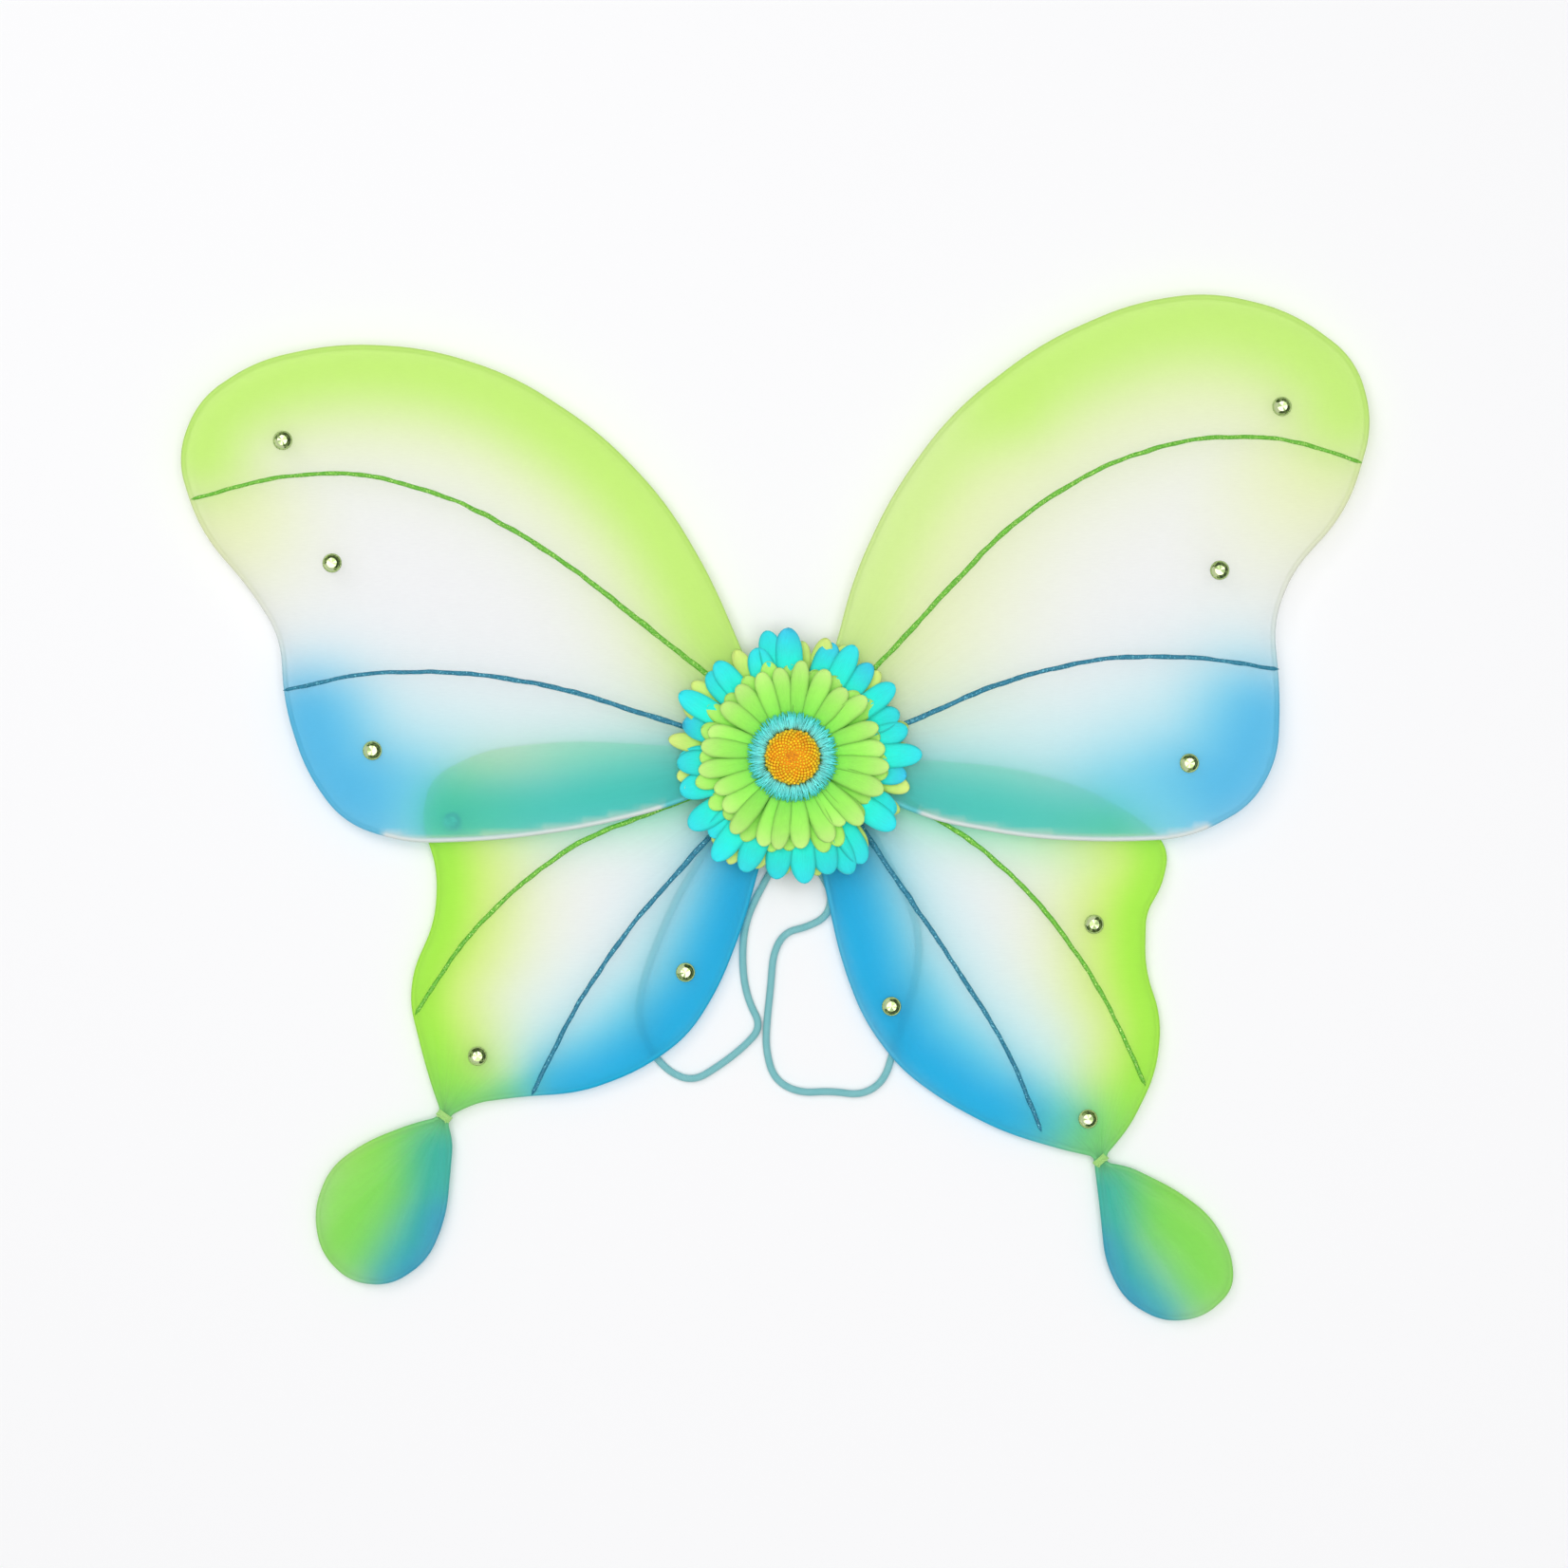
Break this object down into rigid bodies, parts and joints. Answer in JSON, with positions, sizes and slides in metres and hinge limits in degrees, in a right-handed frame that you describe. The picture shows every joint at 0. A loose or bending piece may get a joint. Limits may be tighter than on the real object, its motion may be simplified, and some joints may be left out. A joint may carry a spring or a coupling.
{
  "type": "fairy wings",
  "caption": "Costume fairy wings: sheer green and blue nylon lobes on wire loops, with glitter veins, gems, a fabric flower at the hub and elastic shoulder straps.",
  "frame": {"origin": "middle of the back pad's rear face, which rests on the wearer's back or a table", "axes": "+X towards the right wings, +Y towards the upper wings, +Z out through the flower"},
  "size_m": [0.4915, 0.4251, 0.028],
  "materials": {
    "nylon": "sheer dyed nylon",
    "wire": "coated steel wire",
    "green_glitter": "glitter glue",
    "blue_glitter": "glitter glue",
    "gem": "faceted acrylic, foil back",
    "felt": "felt",
    "tape": "wound cloth tape",
    "elastic": "braided round elastic",
    "thread": "wound thread",
    "turquoise_petal": "pressed polyester",
    "lime_petal": "pressed polyester",
    "fringe": "cut fringe",
    "centre": "flocked bobbles"
  },
  "bodies": {
    "hub": {"back_pad": "felt", "binding": "tape", "flower_base": "felt", "back_petals": "lime_petal", "outer_petals": "turquoise_petal", "middle_petals": "lime_petal", "inner_petals": "lime_petal", "fringe_ring": "fringe", "flower_centre": "centre", "green_vein_roots": "green_glitter", "blue_vein_roots": "blue_glitter", "left_strap": "elastic", "left_strap_lower_knot": "elastic", "left_strap_upper_knot": "elastic", "right_strap": "elastic", "right_strap_lower_knot": "elastic", "right_strap_upper_knot": "elastic", "upper_left_wire_root": "wire", "upper_left_sleeve_root": "nylon", "upper_right_wire_root": "wire", "upper_right_sleeve_root": "nylon", "lower_left_wire_root": "wire", "lower_left_sleeve_root": "nylon", "lower_right_wire_root": "wire", "lower_right_sleeve_root": "nylon"},
    "upper_left_wing": {"upper_left_wire": "wire", "upper_left_sleeve": "nylon", "upper_left_green_vein": "green_glitter", "upper_left_blue_vein": "blue_glitter", "upper_left_gem_1": "gem", "upper_left_gem_2": "gem", "upper_left_gem_3": "gem"},
    "upper_right_wing": {"upper_right_wire": "wire", "upper_right_sleeve": "nylon", "upper_right_green_vein": "green_glitter", "upper_right_blue_vein": "blue_glitter", "upper_right_gem_1": "gem", "upper_right_gem_2": "gem", "upper_right_gem_3": "gem"},
    "lower_left_wing": {"lower_left_wire": "wire", "lower_left_sleeve": "nylon", "lower_left_green_vein": "green_glitter", "lower_left_blue_vein": "blue_glitter", "lower_left_gem_1": "gem", "lower_left_gem_2": "gem", "lower_left_gem_3": "gem", "lower_left_tail_tie": "thread"},
    "lower_right_wing": {"lower_right_wire": "wire", "lower_right_sleeve": "nylon", "lower_right_green_vein": "green_glitter", "lower_right_blue_vein": "blue_glitter", "lower_right_gem_1": "gem", "lower_right_gem_2": "gem", "lower_right_gem_3": "gem", "lower_right_tail_tie": "thread"}
  },
  "joints": [
    {"name": "upper_left_bend", "type": "hinge", "parent": "hub", "child": "upper_left_wing", "pos_m": [-0.05067, 0.02006, 0.0124], "axis": [0.3681, 0.9298, 0], "range_deg": [0, 60]},
    {"name": "upper_right_bend", "type": "hinge", "parent": "hub", "child": "upper_right_wing", "pos_m": [0.05067, 0.02006, 0.0124], "axis": [0.3681, -0.9298, 0], "range_deg": [0, 60]},
    {"name": "lower_left_bend", "type": "hinge", "parent": "hub", "child": "lower_left_wing", "pos_m": [-0.05399, -0.04611, 0.0072], "axis": [-0.6494, 0.7604, 0], "range_deg": [0, 42]},
    {"name": "lower_right_bend", "type": "hinge", "parent": "hub", "child": "lower_right_wing", "pos_m": [0.05399, -0.04611, 0.0072], "axis": [-0.6494, -0.7604, 0], "range_deg": [0, 42]}
  ],
  "couplings": [
    {"joint": "lower_left_bend", "follows": "upper_left_bend", "ratio": 0.7},
    {"joint": "lower_right_bend", "follows": "upper_right_bend", "ratio": 0.7}
  ]
}
